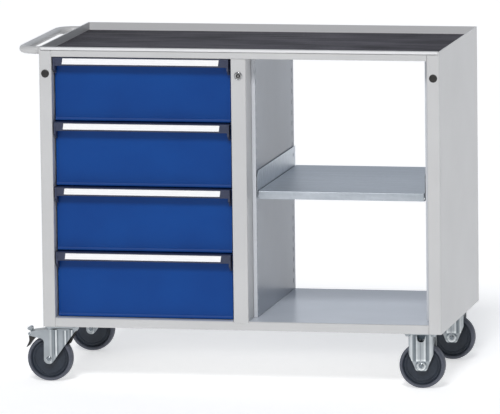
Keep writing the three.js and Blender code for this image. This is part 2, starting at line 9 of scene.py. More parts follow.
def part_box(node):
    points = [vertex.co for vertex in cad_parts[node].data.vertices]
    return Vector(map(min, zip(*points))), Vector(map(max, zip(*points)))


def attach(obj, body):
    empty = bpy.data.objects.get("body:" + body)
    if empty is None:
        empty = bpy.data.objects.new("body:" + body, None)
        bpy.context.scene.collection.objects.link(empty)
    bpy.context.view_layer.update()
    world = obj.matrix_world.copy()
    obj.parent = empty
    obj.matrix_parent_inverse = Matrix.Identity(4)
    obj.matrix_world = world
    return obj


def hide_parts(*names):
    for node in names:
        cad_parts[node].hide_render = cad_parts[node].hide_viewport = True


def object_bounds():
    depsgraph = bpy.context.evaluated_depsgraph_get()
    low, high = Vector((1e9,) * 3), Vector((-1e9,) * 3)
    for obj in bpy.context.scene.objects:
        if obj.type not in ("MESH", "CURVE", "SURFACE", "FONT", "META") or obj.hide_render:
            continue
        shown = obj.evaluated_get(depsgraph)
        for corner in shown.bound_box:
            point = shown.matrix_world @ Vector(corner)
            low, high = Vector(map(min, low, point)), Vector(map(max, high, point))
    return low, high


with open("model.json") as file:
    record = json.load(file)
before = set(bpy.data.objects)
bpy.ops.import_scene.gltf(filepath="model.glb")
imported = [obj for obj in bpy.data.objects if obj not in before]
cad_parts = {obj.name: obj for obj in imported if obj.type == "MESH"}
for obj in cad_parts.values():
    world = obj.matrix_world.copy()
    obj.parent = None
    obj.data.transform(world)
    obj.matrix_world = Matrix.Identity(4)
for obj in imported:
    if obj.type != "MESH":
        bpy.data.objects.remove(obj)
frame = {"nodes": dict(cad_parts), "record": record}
nodes = frame["nodes"]
cadLow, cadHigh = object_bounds()
mm = 0.001
print("frame: loaded", len(nodes), "nodes")


# Small helpers

def linear(hexColour):  # an sRGB hex value as the linear colour that shaders take
    channels = [int(hexColour[i:i + 2], 16) / 255 for i in (1, 3, 5)]
    return [c / 12.92 if c <= 0.04045 else ((c + 0.055) / 1.055) ** 2.4 for c in channels] + [1.0]


def feed(tree, node, inputs):  # links or plain values on a node's inputs
    for socket, value in inputs.items():
        if isinstance(value, bpy.types.NodeSocket):
            tree.links.new(value, node.inputs[socket])
        else:
            node.inputs[socket].default_value = value


def addNode(tree, kind, inputs=None, **settings):  # one node, with its settings and its links
    node = tree.nodes.new(kind)
    for name, value in settings.items():
        setattr(node, name, value)
    feed(tree, node, inputs or {})
    return node


def newMaterial(name, look):  # a Principled material with the constants on its own sockets
    material = bpy.data.materials.new(name)
    material.use_nodes = True
    shader = material.node_tree.nodes["Principled BSDF"]
    feed(material.node_tree, shader, look)
    return material, material.node_tree, shader


def varied(tree, vector, scale, low, high, detail=3.0):  # noise spread between two numbers
    noise = addNode(tree, "ShaderNodeTexNoise", {"Vector": vector, "Scale": scale, "Detail": detail})
    return addNode(tree, "ShaderNodeMapRange", {
        "Value": noise.outputs["Fac"],
        "From Min": 0.3,  # most of the noise lies between these two
        "From Max": 0.7,
        "To Min": low,
        "To Max": high,
    }).outputs["Result"]


def stretched(tree, size):  # the piece's own coordinates, counted in the given size along each axis
    spot = addNode(tree, "ShaderNodeTexCoord").outputs["Object"]
    settings = {"Vector": spot, "Scale": [1 / s for s in size]}
    return addNode(tree, "ShaderNodeMapping", settings).outputs["Vector"]


# Materials

def powderCoat(name, coat):
    material, tree, shader = newMaterial(name, {
        "Roughness": coat["roughness"],
        "IOR": 1.5,
        "Specular IOR Level": coat["gloss"],
    })
    tint = varied(tree, stretched(tree, [coat["cloud"]] * 3), 1.0, 0.0, 1.0)
    peel = addNode(tree, "ShaderNodeTexNoise", {
        "Vector": stretched(tree, [coat["peel"]] * 3),
        "Scale": 1.0,
        "Detail": 1.0,
    })
    bump = addNode(tree, "ShaderNodeBump", {
        "Height": peel.outputs["Fac"],
        "Strength": coat["peelStrength"],
        "Distance": coat["peelDepth"],
    })
    between = {0: tint, 6: linear(coat["dark"]), 7: linear(coat["light"])}
    colour = addNode(tree, "ShaderNodeMix", between, data_type="RGBA").outputs[2]
    # A coat with a front colour paints the faces turned to the front in it: painted light from the lamp in
    # front.
    if "flange" in coat:
        normal = addNode(tree, "ShaderNodeTexCoord").outputs["Normal"]
        axes = addNode(tree, "ShaderNodeSeparateXYZ", {0: normal}).outputs
        turned = {0: axes["Y"], 1: -0.7}  # within about 45 degrees of the front
        front = addNode(tree, "ShaderNodeMath", turned, operation="LESS_THAN").outputs[0]
        between = {0: front, 6: colour, 7: linear(coat["flange"])}
        colour = addNode(tree, "ShaderNodeMix", between, data_type="RGBA").outputs[2]
    feed(tree, shader, {"Base Color": colour, "Normal": bump.outputs["Normal"]})
    return material


# Light grey polyester powder coat, baked and semi-gloss: an even body with broad, soft reflections
# and the faint orange peel of melted powder. The peel is about 1.5 mm across on the real sheet and
# is drawn at 3 mm, because finer would not show.
greyPowder = {
    "dark": "#c9c9c9",
    "light": "#cfcfcf",
    "roughness": 0.36,
    "gloss": 0.5,
    "cloud": 180 * mm,
    "peel": 3 * mm,
    "peelStrength": 0.25,
    "peelDepth": 0.05 * mm,
}
greyCoat = powderCoat("greyPowderCoat", greyPowder)

# The same grey on the bay's floor, smoother, and painted lighter and bluer: painted light, for the cool
# light that reaches it through the open bay.
bayFloorLitCoat = powderCoat("greyPowderCoatBayFloorLit", {
    **greyPowder,
    "dark": "#cdd3dc",
    "light": "#d3d9e2",
    "roughness": 0.24,
    "peelStrength": 0.15,
})

# On the bay's walls it is duller, and painted darker: painted shade, for the shade inside the bay. Their
# front-facing flanges are painted lighter: painted light, where the lamp in front reaches them.
wallShadedCoat = powderCoat("greyPowderCoatWallShaded", {
    **greyPowder,
    "dark": "#929aa6",
    "light": "#9aa1ac",
    "flange": "#d3d6db",
    "roughness": 0.3,
    "gloss": 0.25,
    "peelStrength": 0.15,
})

# The worktop's tray is painted paler than the cabinet, and its faces turned to the front paler still:
# painted light, so that its shaded turned-up edges read bright against the dark mat.
trayLitCoat = powderCoat("greyPowderCoatTrayLit", {
    **greyPowder,
    "dark": "#dcdcdc",
    "light": "#e2e2e2",
    "flange": "#ededee",
})

# The same powder in a deep blue for the drawers: a saturated body, with a weaker highlight than the
# grey one so that the body stays pure.
blueCoat = powderCoat("bluePowderCoat", {
    **greyPowder,
    "dark": "#05408b",
    "light": "#074693",
    "roughness": 0.34,
    "gloss": 0.2,
    "cloud": 120 * mm,
})

# Hot-dip galvanised sheet: zinc crystals give soft grey patches, and rolling leaves faint long
# streaks. The crystals are 2 to 4 mm across and are drawn at 9 mm, because finer would not show.
galvanised = {
    "dark": "#b2bac1",
    "light": "#d2d8df",
    "spangle": 9 * mm,
    "spangleShare": 0.3,  # the streaks have the rest
    "streak": (140 * mm, 6 * mm, 20 * mm),
    "roughness": (0.34, 0.5),
    "metallic": 0.9,
}


def galvanisedSheet():
    material, tree, shader = newMaterial("galvanisedSteel", {"Metallic": galvanised["metallic"]})
    spangle = addNode(tree, "ShaderNodeTexVoronoi", {
        "Vector": stretched(tree, [galvanised["spangle"]] * 3),
        "Scale": 1.0,
    })
    streaks = varied(tree, stretched(tree, galvanised["streak"]), 1.0, 0.0, 1.0)
    both = {0: galvanised["spangleShare"], 2: streaks, 3: spangle.outputs["Color"]}
    grain = addNode(tree, "ShaderNodeMix", both).outputs[0]
    low, high = galvanised["roughness"]
    roughness = addNode(tree, "ShaderNodeMapRange", {"Value": grain, "To Min": low, "To Max": high})
    between = {0: grain, 6: linear(galvanised["dark"]), 7: linear(galvanised["light"])}
    colour = addNode(tree, "ShaderNodeMix", between, data_type="RGBA").outputs[2]
    feed(tree, shader, {"Base Color": colour, "Roughness": roughness.outputs["Result"]})
    return material


galvanisedSteel = galvanisedSheet()

# Pressed steel, bright zinc plated: a cool metal that mirrors light softly. Ribs and flutes get a painted
# highlight on their crowns and painted shade in their hollows. A pressing says how bright to paint each
# point, from -1 in a hollow to 1 on a crown. Elsewhere the surface's own bend says it, 0.5 where it is
# flat.
zincSheet = {
    "pressed": True,
    "dullAndShaded": "#566169",
    "plain": "#aeb4b8",
    "rubbedAndHighlit": "#f2f6f7",
    "cloud": 30 * mm,
    "hollow": (-1.0, 0.0),
    "crown": (0.0, 1.0),
    "roughness": (0.3, 0.4),
    "metallic": 0.9,
}

# The same plating on bolts and small stampings: darker, with edges bright from wear and from painted
# highlight, and painted shade in their hollows.
zincFitting = {
    "pressed": False,
    "dullAndShaded": "#454c52",
    "plain": "#80888e",
    "rubbedAndHighlit": "#e6eaec",
    "cloud": 12 * mm,
    "hollow": (0.42, 0.5),
    "crown": (0.53, 0.6),
    "roughness": (0.22, 0.3),
    "metallic": 0.9,
}

# The same plating on the cheeks' faces towards the wheel, which lie in shade: painted pale and barely
# mirroring, as painted light that makes them read as lit.
zincLitInside = {
    "pressed": False,
    "dullAndShaded": "#c6cbce",
    "plain": "#d6dadc",
    "rubbedAndHighlit": "#e2e5e6",
    "cloud": 20 * mm,
    "hollow": (0.4, 0.5),
    "crown": (0.5, 0.6),
    "roughness": (0.5, 0.6),
    "metallic": 0.25,
}


def zincPlated(name, plating):
    material, tree, shader = newMaterial(name, {"Metallic": plating["metallic"]})
    spot = stretched(tree, [plating["cloud"]] * 3)
    # Painted shade in hollows and painted highlight on crowns; pressings carry it in an attribute, other
    # parts take it from pointiness
    if plating["pressed"]:
        sheenAndWear = addNode(tree, "ShaderNodeAttribute", attribute_name="paintedSheen").outputs["Fac"]
    else:
        sheenAndWear = addNode(tree, "ShaderNodeNewGeometry").outputs["Pointiness"]
    colour = linear(plating["dullAndShaded"])
    for (low, high), over in (
        (plating["hollow"], plating["plain"]),
        (plating["crown"], plating["rubbedAndHighlit"]),
    ):
        share = addNode(tree, "ShaderNodeMapRange", {"Value": sheenAndWear, "From Min": low, "From Max": high})
        between = {0: share.outputs["Result"], 6: colour, 7: linear(over)}
        colour = addNode(tree, "ShaderNodeMix", between, data_type="RGBA").outputs[2]
    clouds = {"Color": colour, "Value": varied(tree, spot, 1.0, 0.92, 1.08)}
    feed(tree, shader, {
        "Base Color": addNode(tree, "ShaderNodeHueSaturation", clouds).outputs["Color"],
        "Roughness": varied(tree, spot, 2.5, *plating["roughness"]),
    })
    return material


zincPlatedSteel = zincPlated("zincPlatedSteel", zincSheet)
zincPlatedBolts = zincPlated("zincPlatedBolts", zincFitting)
zincPlatedLitInside = zincPlated("zincPlatedLitInside", zincLitInside)

# Moulded skins. Their grain is a few tenths of a millimetre across and is drawn at 1.5 to 4 mm,
# because finer would not show.
grainDepth = 0.03 * mm


def mouldedPart(name, part):
    look = {"Metallic": part.get("metallic", 0.0), "Specular IOR Level": part.get("gloss", 0.5)}
    material, tree, shader = newMaterial(name, look)
    spot = stretched(tree, [part["grain"]] * 3)
    tint = varied(tree, spot, 0.2, 0.0, 1.0)  # in patches five grains wide
    gloss = varied(tree, spot, 0.5, *part["roughness"])
    bump = addNode(tree, "ShaderNodeBump", {
        "Height": varied(tree, spot, 1.0, 0.0, 1.0),
        "Strength": part["relief"],
        "Distance": grainDepth,
    })
    between = {0: tint, 6: linear(part["dark"]), 7: linear(part["light"])}
    colour = addNode(tree, "ShaderNodeMix", between, data_type="RGBA").outputs[2]
    feed(tree, shader, {"Base Color": colour, "Roughness": gloss, "Normal": bump.outputs["Normal"]})
    return material


# Chromed die-cast zinc on the lock: a bright mirror, a little broken by polishing.
chromedZinc = mouldedPart("chromedZinc", {
    "dark": "#c4c6c8",
    "light": "#dcdddd",
    "roughness": (0.08, 0.16),
    "metallic": 1.0,
    "grain": 1.5 * mm,
    "relief": 0.1,
})

# Polypropylene plugs and brake shoes: near black with a dull moulded skin.
blackPolypropylene = mouldedPart("blackPolypropylene", {
    "dark": "#23211f",
    "light": "#2c2a28",
    "roughness": (0.45, 0.6),
    "grain": 1.5 * mm,
    "relief": 0.3,
})

# Black polyethylene filling between each swivel caster's cheeks: painted shade, a dark block where the
# fork's inside lies in shadow, with a waxy skin that stays dark at any angle.
shadeBlackPolyethylene = mouldedPart("shadeBlackPolyethylene", {
    "dark": "#0b0b0a",
    "light": "#131211",
    "roughness": (0.75, 0.85),
    "gloss": 0.08,
    "grain": 1.5 * mm,
    "relief": 0.3,
})

# ABS grips: a slate blue that takes a soft sheen on its edges.
slateAbs = mouldedPart("slateAbs", {
    "dark": "#2f354c",
    "light": "#383f57",
    "roughness": (0.4, 0.5),
    "grain": 1.5 * mm,
    "relief": 0.2,
})

# PVC label strip: plain bright white, smooth.
whitePvc = mouldedPart("whitePvc", {
    "dark": "#fbfbfb",
    "light": "#ffffff",
    "roughness": (0.3, 0.4),
    "grain": 4 * mm,
    "relief": 0.05,
})

# Grey thermoplastic rubber tyres: a dull skin with a dusty bloom.
tyreRubber = mouldedPart("tyreRubber", {
    "dark": "#494d58",
    "light": "#585c67",
    "roughness": (0.55, 0.7),
    "grain": 4 * mm,
    "relief": 0.3,
})

# Nylon wheel bodies: dark slate, moulded, a little glossier than the tyres.
slateNylon = mouldedPart("slateNylon", {
    "dark": "#1f2732",
    "light": "#27303d",
    "roughness": (0.4, 0.52),
    "grain": 3 * mm,
    "relief": 0.2,
})

# Ribbed rubber matting: black with grey streaks along the ribs, where the light catches the rib tops
# and dust lies between them. The ribs are 3 mm apart.
matRubber = {
    "dark": "#1e1d23",
    "light": "#696770",
    "streak": (160 * mm, 22 * mm, 20 * mm),
    "cloud": (300 * mm, 110 * mm, 60 * mm),
    "roughness": 0.6,
}


def ribbedMatting():
    material, tree, shader = newMaterial("ribbedRubber", {"Roughness": matRubber["roughness"]})
    streaks = varied(tree, stretched(tree, matRubber["streak"]), 1.0, 0.0, 1.0, 4.0)
    clouds = varied(tree, stretched(tree, matRubber["cloud"]), 1.0, 0.0, 1.0)
    both = addNode(tree, "ShaderNodeMix", {0: 0.5, 2: streaks, 3: clouds}).outputs[0]
    between = {0: both, 6: linear(matRubber["dark"]), 7: linear(matRubber["light"])}
    colour = addNode(tree, "ShaderNodeMix", between, data_type="RGBA").outputs[2]
    feed(tree, shader, {"Base Color": colour})
    return material


ribbedRubber = ribbedMatting()
print("materials: done")

slotMaterials = {
    "grey_powder_coat": greyCoat,
    "blue_powder_coat": blueCoat,
    "galvanised_steel": galvanisedSteel,
    "zinc_plated_steel": zincPlatedSteel,
    "chrome": chromedZinc,
    "black_plastic": blackPolypropylene,
    "grip_plastic": slateAbs,
    "white_label": whitePvc,
    "ribbed_rubber": ribbedRubber,
    "wheel_rubber": tyreRubber,
    "wheel_nylon": slateNylon,
}


# Mesh helpers. Pieces are drawn in millimetres, and addPiece turns them to metres.

gentleBend = math.radians(34)  # faces that meet at less are drawn as one round surface
owners = {node: body for body, group in frame["record"]["behaviour"]["bodies"].items() for node in group}
slots = {part["node"]: part["material_slot"] for part in frame["record"]["subparts"]}


def boxOf(node):  # a node's lowest and highest corner in millimetres
    low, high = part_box(node)
    return low / mm, high / mm


def middle(node):
    low, high = boxOf(node)
    return (low + high) / 2


def smoothByAngle():  # a modifier's node group: round where faces meet gently, crisp elsewhere
    group = bpy.data.node_groups.new("smoothByAngle", "GeometryNodeTree")
    group.interface.new_socket("Geometry", in_out="INPUT", socket_type="NodeSocketGeometry")
    group.interface.new_socket("Geometry", in_out="OUTPUT", socket_type="NodeSocketGeometry")
    start = addNode(group, "NodeGroupInput").outputs[0]
    bare = addNode(group, "GeometryNodeRemoveAttribute", {"Geometry": start, "Name": "custom_normal"})
    angle = addNode(group, "GeometryNodeInputMeshEdgeAngle").outputs["Unsigned Angle"]
    gentle = addNode(group, "FunctionNodeCompare", {0: angle, 1: gentleBend}, operation="LESS_THAN")
    faces = addNode(group, "GeometryNodeSetShadeSmooth", {"Geometry": bare.outputs[0]})
    edges = addNode(group, "GeometryNodeSetShadeSmooth", {
        "Geometry": faces.outputs[0],
        "Selection": gentle.outputs[0],
    }, domain="EDGE")
    addNode(group, "NodeGroupOutput", {0: edges.outputs[0]})
    return group


smoothGroup = smoothByAngle()


def roundEdges(piece, width):
    if width:
        bevel = piece.modifiers.new("edges", "BEVEL")
        bevel.width = width
        bevel.segments = 2
        bevel.limit_method = "ANGLE"
        bevel.angle_limit = gentleBend
    piece.modifiers.new("smooth", "NODES").node_group = smoothGroup
    normals = piece.modifiers.new("normals", "WEIGHTED_NORMAL")  # keeps flat sheet flat beside its edges
    normals.keep_sharp = True


def bake(bm):  # a shape as a mesh, with its faces turned outwards
    bmesh.ops.recalc_face_normals(bm, faces=bm.faces)
    mesh = bpy.data.meshes.new("shape")
    bm.to_mesh(mesh)
    bm.free()
    return mesh


def place(name, data):  # a new object in the scene
    thing = bpy.data.objects.new(name, data)
    bpy.context.scene.collection.objects.link(thing)
    return thing


def addPiece(name, bm, nodes=(), at=(0, 0, 0), slot=None, body=None, finish=None, edge=0.4):
    # The slot, the body and the finish are those of the first node it replaces, unless they are given.
    bmesh.ops.translate(bm, vec=at, verts=bm.verts)
    bmesh.ops.scale(bm, vec=(mm, mm, mm), verts=bm.verts)
    piece = place(name, bake(bm))
    piece.data.name = name
    slot = slot or slots[nodes[0]]
    piece.data.materials.append(finish or slotMaterials[slot])
    roundEdges(piece, edge * mm)
    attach(piece, body or owners[nodes[0]])
    if nodes:
        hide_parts(*nodes)
    return piece


def onAxis(axis, a, b, along):
    return Vector({"x": (along, a, b), "y": (a, along, b), "z": (a, b, along)}[axis])


def merge(bm, other):  # moves another shape into this one
    mesh = bake(other)
    bm.from_mesh(mesh)
    bpy.data.meshes.remove(mesh)


def solid(kind, *measures):  # a new mesh with one shape in it
    bm = bmesh.new()
    kind(bm, *measures)
    return bm


def extrude(bm, outline, axis, low, high):  # an outline of the two other axes, in X, Y, Z order
    near, far = [[bm.verts.new(onAxis(axis, a, b, end)) for a, b in outline] for end in (low, high)]
    bm.faces.new(near)
    bm.faces.new(far)
    for i in range(len(outline)):
        bm.faces.new((near[i - 1], near[i], far[i], far[i - 1]))


def block(bm, low, high):
    (x0, y0, z0), (x1, y1, z1) = low, high
    extrude(bm, [(x0, y0), (x1, y0), (x1, y1), (x0, y1)], "z", z0, z1)


def turn(bm, profile, axis, centre, steps=48):
    # A turned shape. The profile's (radius, along) pairs run from the axis to the axis, or round a ring.
    rings = []
    for radius, along in profile:
        angles = [2 * math.pi * step / steps for step in range(steps if radius else 1)]
        ring = [onAxis(axis, radius * math.cos(a), radius * math.sin(a), along) for a in angles]
        made = [bm.verts.new(point + Vector(centre)) for point in ring]
        rings.append(made if radius else made * steps)
    if profile[0][0]:
        rings.append(rings[0])
    for near, far in zip(rings, rings[1:]):
        for i in range(steps):
            corners = list(dict.fromkeys((near[i - 1], near[i], far[i], far[i - 1])))
            if len(corners) > 2:
                bm.faces.new(corners)


def rod(bm, radius, axis, low, high, centre=(0, 0, 0), steps=32, chamfer=0.4):
    turn(bm, [
        (0, low),
        (radius - chamfer, low),
        (radius, low + chamfer),
        (radius, high - chamfer),
        (radius - chamfer, high),
        (0, high),
    ], axis, centre, steps)


def hexHead(bm, flats, axis, low, high, centre):  # the chamfered side is at low
    radius = flats / math.sqrt(3)
    chamfer = low + 0.14 * (high - low)
    profile = [(0, low), (0.86 * radius, low), (radius, chamfer), (radius, high), (0, high)]
    turn(bm, profile, axis, centre, 6)


def arcPoints(a, b, radius, start, end, steps=8):
    angles = [math.radians(start + (end - start) * step / steps) for step in range(steps + 1)]
    return [(a + radius * math.cos(angle), b + radius * math.sin(angle)) for angle in angles]


def fold(bm, path, radii, sheet, axis, low, high, steps=5):
    # A folded sheet. The path runs along its outer face, with the metal and every fold to the right,
    # and each radius is the outer one of that fold.
    points = [Vector(point) for point in path]
    runs = [(after - before).normalized() for before, after in zip(points, points[1:])]
    rights = [Vector((run.y, -run.x)) for run in runs]
    face, back = [points[0]], [points[0] + rights[0] * sheet]
    for joint, before, after, right, radius in zip(points[1:], runs, runs[1:], rights, radii):
        bend = before.angle_signed(after)
        centre = joint - before * radius * math.tan(bend / 2) + right * radius
        for step in range(steps + 1):
            turned = -right
            turned.rotate(Matrix.Rotation(-bend * step / steps, 2))
            face.append(centre + turned * radius)
            back.append(centre + turned * (radius - sheet))
    face.append(points[-1])
    back.append(points[-1] + rights[-1] * sheet)
    extrude(bm, face + back[::-1], axis, low, high)


def carve(bm, tools):  # cuts closed shapes out of a mesh
    carved, cutter = [place("carving", bake(shape)) for shape in (bm, tools)]
    cut = carved.modifiers.new("cut", "BOOLEAN")
    cut.object = cutter
    cut.operation = "DIFFERENCE"
    cut.use_self = True
    result = bmesh.new()
    result.from_object(carved, bpy.context.evaluated_depsgraph_get())
    for holder in (carved, cutter):
        bpy.data.meshes.remove(holder.data)  # and its object with it
    return result


paintedSheenReach = 4.5  # how far a pressing's crowns and hollows are told from the sheet around them
paintedSheenDepth = 3.0  # a crown that stands out by half as much gets the full painted highlight


def press(bm, outline, columns, rows, relief, level, sheet, facing):
    # A sheet in the XZ plane with pressed shapes: relief gives how far a point stands out.
    flat = bmesh.new()
    paintedSheen = flat.verts.layers.float.new("paintedSheen")
    whole = flat.faces.new([flat.verts.new((x, 0, z)) for x, z in outline])
    whole.normal_update()
    bmesh.ops.triangulate(flat, faces=[whole])
    for normal, places in (((1, 0, 0), columns), ((0, 0, 1), rows)):
        for spot in places:
            bmesh.ops.bisect_plane(
                flat,
                geom=flat.verts[:] + flat.edges[:] + flat.faces[:],
                dist=0.001,
                plane_co=Vector(normal) * spot,
                plane_no=normal,
            )
    made = bmesh.ops.extrude_face_region(flat, geom=flat.faces[:])["geom"]
    inner = {item for item in made if isinstance(item, bmesh.types.BMVert)}
    for vertex in flat.verts:
        x, z = vertex.co.x, vertex.co.z
        stand = relief(x, z)
        sides = relief(x - paintedSheenReach, z) + relief(x + paintedSheenReach, z)
        ends = relief(x, z - paintedSheenReach) + relief(x, z + paintedSheenReach)
        # painted sheen: a painted highlight where the point stands out from its surroundings, painted shade
        # where it sinks
        vertex[paintedSheen] = (4 * stand - sides - ends) / paintedSheenDepth
        vertex.co.y = facing * (level + stand - (sheet if vertex in inner else 0))
    merge(bm, flat)


def ridge(spot, centre, width):  # 1 on a ridge's middle, falling smoothly to 0 at its sides
    away = abs(spot - centre) / (width / 2)
    return 0.5 + 0.5 * math.cos(math.pi * away) if away < 1 else 0.0


def ramp(spot, start, end):
    return min(max((spot - start) / (end - start), 0.0), 1.0)


# The cabinet's own corner: X from its left side, Y from its front and Z from the floor

corner = boxOf("left_side_panel")[0]
cabinetAt = (corner.x, corner.y, 0)
cabinet = {
    "width": 1100,
    "depth": 600,
    "bottom": 155,
    "floor": 180,
    "railBottom": 894,
    "railTop": 910.6,
    "top": 920,
    "above": 930,  # clear of everything, for cuts
    "sheet": 1.5,
    "cornerFold": 6,  # the posts' outer corners are folded wide
    "fold": 2.5,
    "post": 35,
    "inside": 598.2,  # depth up to the rear sheet
}
sidePanel = {
    "returns": (39, 71.7),  # depth of the posts' inner sides, left and right
    "rearLip": 30,
    "railGap": 1.5,  # the posts' inner sides and the rear lip end this far below the rail
}
basePan = {
    "lips": (105, 495),  # where its turned-in undersides end
    "folds": (2.5, 5, 2.5, 2.5),
    "sideGap": 1.8,
    "postNotches": (28.3, 72),  # depth of its cut corners, left and right
    "dividerNotch": (529.7, 571.3, 5.3),  # left side, right side and depth
}
divider = {
    "flange": (530, 571),
    "return": 71.7,
    "rearLip": 548,
    "foot": 4.7,  # its front flange reaches this far below the floor
}
topRail = {
    "lip": 8.4,
    "fold": 1.8,
    "gap": 0.1,
}


def makeSidePanel(node, side, returnDepth):  # side 1 is the left one and -1 the right one
    width, depth, post, sheet = cabinet["width"], cabinet["depth"], cabinet["post"], cabinet["sheet"]
    tight, wide, top, lip = cabinet["fold"], cabinet["cornerFold"], cabinet["above"], sidePanel["rearLip"]
    end = cabinet["railBottom"] - sidePanel["railGap"]

    def across(x):
        return x if side == 1 else width - x

    path = [(post, returnDepth), (post, 0), (0, 0), (0, depth), (lip, depth)]
    path = [(across(x), y) for x, y in path][::side]
    folds = [tight, wide, tight][::side]
    bm = solid(fold, path, folds, sheet, "z", cabinet["bottom"], cabinet["top"])
    tools = bmesh.new()
    for x0, x1, y0, y1, z0 in (
        (5, post + 1, -1, 7, cabinet["railTop"] + 0.1),  # the front, above the rail
        (post - 5, post + 1, tight, returnDepth + 1, end),
        (tight, lip + 1, depth - 2, depth + 1, end),
    ):
        low, high = sorted((across(x0), across(x1)))
        block(tools, (low, y0, z0), (high, y1, top))
    addPiece(node + "_folded", carve(bm, tools), [node], cabinetAt, edge=0.2)


def makeBasePan():
    width, post, gap = cabinet["width"], cabinet["post"] + 0.1, basePan["sideGap"]
    bottom, floor, inside = cabinet["bottom"], cabinet["floor"], cabinet["inside"]
    (frontLip, rearLip), (leftNotch, rightNotch) = basePan["lips"], basePan["postNotches"]
    path = [(0, bottom), (0, floor), (inside, floor), (inside, bottom)]
    path = [(frontLip, bottom), *path, (rearLip, bottom)]
    bm = solid(fold, path, basePan["folds"], cabinet["sheet"], "x", gap, width - gap)
    tools = solid(block, (0, -1, bottom - 1), (post, leftNotch, floor + 1))
    block(tools, (width - post, -1, bottom - 1), (width, rightNotch, floor + 1))
    left, right, depth = basePan["dividerNotch"]
    block(tools, (left, -1, floor - 5), (right, depth, floor + 1))
    pan = addPiece("base_pan_folded", carve(bm, tools), ["base_pan"], cabinetAt, edge=0.15)
    pan.data.materials.append(bayFloorLitCoat)
    for face in pan.data.polygons:  # its upper side is the bay's floor, in the bay's painted light
        face.material_index = int(face.normal.z > 0.9 and face.center.z > (floor - 1) * mm)


def makeDivider():
    inside, foot, tight = cabinet["inside"], cabinet["floor"] - divider["foot"], cabinet["fold"]
    left, right = divider["flange"]
    path = [(right, divider["return"]), (right, 0), (left, 0), (left, inside), (divider["rearLip"], inside)]
    bm = solid(fold, path, [tight] * 3, cabinet["sheet"], "z", foot, cabinet["railBottom"] - 0.3)
    above = cabinet["floor"] + 0.3  # only the front flange reaches below
    tools = solid(block, (left - 10, tight + 0.1, foot - 1), (right + 9, cabinet["depth"] + 10, above))
    addPiece("divider_folded", carve(bm, tools), ["divider"], cabinetAt)


def makeTopRail():
    low, high, lip = cabinet["railBottom"], cabinet["railTop"], topRail["lip"]
    end = cabinet["post"] + topRail["gap"]
    path = [(lip, low), (0, low), (0, high), (lip, high)]
    folds, sheet = [topRail["fold"]] * 2, cabinet["sheet"]
    rail = solid(fold, path, folds, sheet, "x", end, cabinet["width"] - end)
    addPiece("top_rail_folded", rail, ["top_rail"], cabinetAt, edge=0.15)


makeSidePanel("left_side_panel", 1, sidePanel["returns"][0])
makeSidePanel("right_side_panel", -1, sidePanel["returns"][1])
makeBasePan()
makeDivider()
makeTopRail()
print("cabinet: done")


# The tray's rear corners, welded shut, and the ribbed mat in it

trayWeld = {
    "sheet": 1.5,
    "gap": 2.5,
    "lap": 0.6,  # into the edges on both sides
    "inset": 0.03,  # behind their faces
}
mat = {
    "pitch": 3.0,
    "rib": 1.3,
    "flank": 0.25,  # how far each side of a rib slants
    "height": 0.9,
}


def makeTrayWelds():
    low, high = boxOf("worktop_tray")
    near, far = trayWeld["inset"], trayWeld["sheet"] - trayWeld["inset"]
    end = trayWeld["sheet"] + trayWeld["gap"] + trayWeld["lap"]
    body = owners["worktop_tray"]
    for side, x, inward in (("left", low.x, 1), ("right", high.x, -1)):
        steps = [(near, near), (end, near), (end, far), (far, far), (far, end), (near, end)]
        steps = [(x + inward * a, high.y - b) for a, b in steps]
        weld = solid(extrude, steps, "z", low.z + 0.1, high.z - 0.1)
        addPiece("tray_weld_" + side, weld, slot="grey_powder_coat", body=body, finish=trayLitCoat, edge=0.2)


def makeMat():
    low, high = boxOf("ribbed_mat")
    base, flank = high.z - mat["height"], mat["flank"]
    outline = [(low.y, low.z)]
    depth = low.y
    while depth + mat["pitch"] < high.y:
        outline += [(depth, base), (depth + flank, high.z)]
        outline += [(depth + flank + mat["rib"], high.z), (depth + 2 * flank + mat["rib"], base)]
        depth += mat["pitch"]
    outline += [(high.y, base), (high.y, low.z)]
    addPiece("mat_ribbed", solid(extrude, outline, "x", low.x, high.x), ["ribbed_mat"], edge=0)


makeTrayWelds()
makeMat()
print("worktop: done")


# Shelf: a galvanised deck with folded lips and a turned-up flange at each side

shelf = {
    "sheet": 1.2,
    "fold": 2.5,
    "lip": 22,
    "groove": 2.4,  # between the deck and each flange
    "turned": 14,  # depth of the deck's turned-down sides, which keep the groove dark
    "chamfer": 12,  # at the flanges' front corners
    "foot": 9,  # width of their turned-in lower edges
    "inset": 5,  # of each flange from the node's side, where its hooks reach
    "hook": (27, 37),  # lowest and highest point above the deck
    "hookReach": (4.8, 2.2),  # outwards and inwards from the flange
    "hookSheet": 3,
    "hooksAt": (6.5, 28),  # from the front and from the back
}


